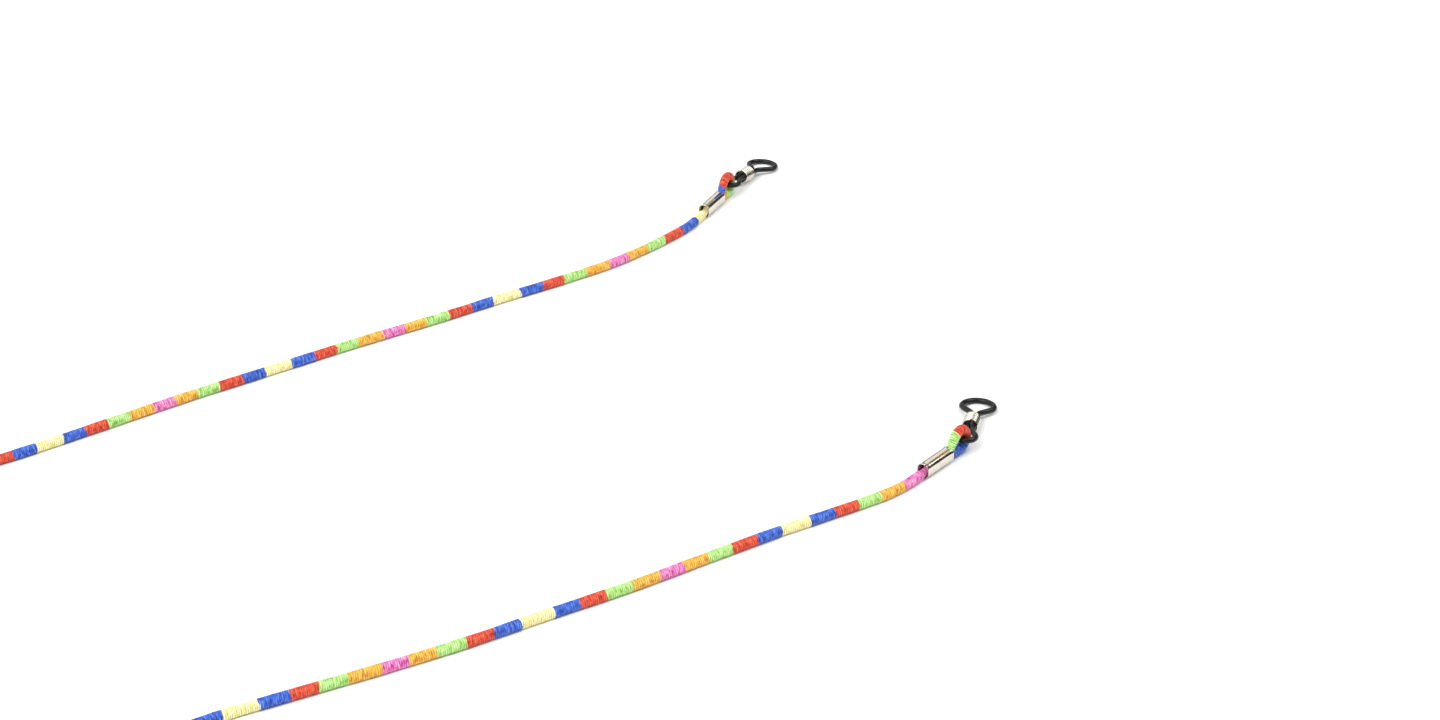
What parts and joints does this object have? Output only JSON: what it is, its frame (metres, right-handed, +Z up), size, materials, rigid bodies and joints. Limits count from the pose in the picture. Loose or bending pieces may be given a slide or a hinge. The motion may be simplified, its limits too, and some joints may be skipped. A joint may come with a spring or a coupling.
{
  "type": "eyeglass retainer strap",
  "caption": "Thread-wrapped cord that holds eyeglasses round the neck, with a rubber temple loop and a sliding clamp coil linked to each end.",
  "frame": {"origin": "on the surface the strap lies on, midway between its two end fittings", "axes": "+X towards the eyewear and away from the bight of the cord, +Y to the wearer's left, +Z up"},
  "size_m": [0.338, 0.1694, 0.0074],
  "materials": {
    "wound_thread": "satin thread wound in bands of pink, orange, green, red, blue and yellow",
    "cotton_core": "matte twisted cotton",
    "black_rubber": "satin moulded rubber",
    "nickel_plate": "bright nickel plating"
  },
  "bodies": {
    "cord": {"cord_jacket": "wound_thread", "cord_core": "cotton_core", "right_cord_eye": "wound_thread", "right_eye_core": "cotton_core", "right_ferrule": "nickel_plate", "left_cord_eye": "wound_thread", "left_eye_core": "cotton_core", "left_ferrule": "nickel_plate"},
    "right_loop": {"right_rubber_loop": "black_rubber"},
    "right_coil": {"right_clamp_coil": "nickel_plate"},
    "left_loop": {"left_rubber_loop": "black_rubber"},
    "left_coil": {"left_clamp_coil": "nickel_plate"}
  },
  "joints": [
    {"name": "right_loop_swing", "type": "hinge", "parent": "cord", "child": "right_loop", "pos_m": [-0.01844, -0.07717, 0.00342], "axis": [0, 0, 1], "range_deg": [-126, 74]},
    {"name": "right_coil_slide", "type": "slide", "parent": "right_loop", "child": "right_coil", "axis": [0.7347, 0.6676, -0.121], "range_m": [-0.0008, 0.0024]},
    {"name": "left_loop_swing", "type": "hinge", "parent": "cord", "child": "left_loop", "pos_m": [0.01491, 0.07067, 0.00342], "axis": [0, 0, 1], "range_deg": [-97, 103]},
    {"name": "left_coil_slide", "type": "slide", "parent": "left_loop", "child": "left_coil", "axis": [0.8831, 0.4533, -0.121], "range_m": [-0.0008, 0.0024]}
  ]
}
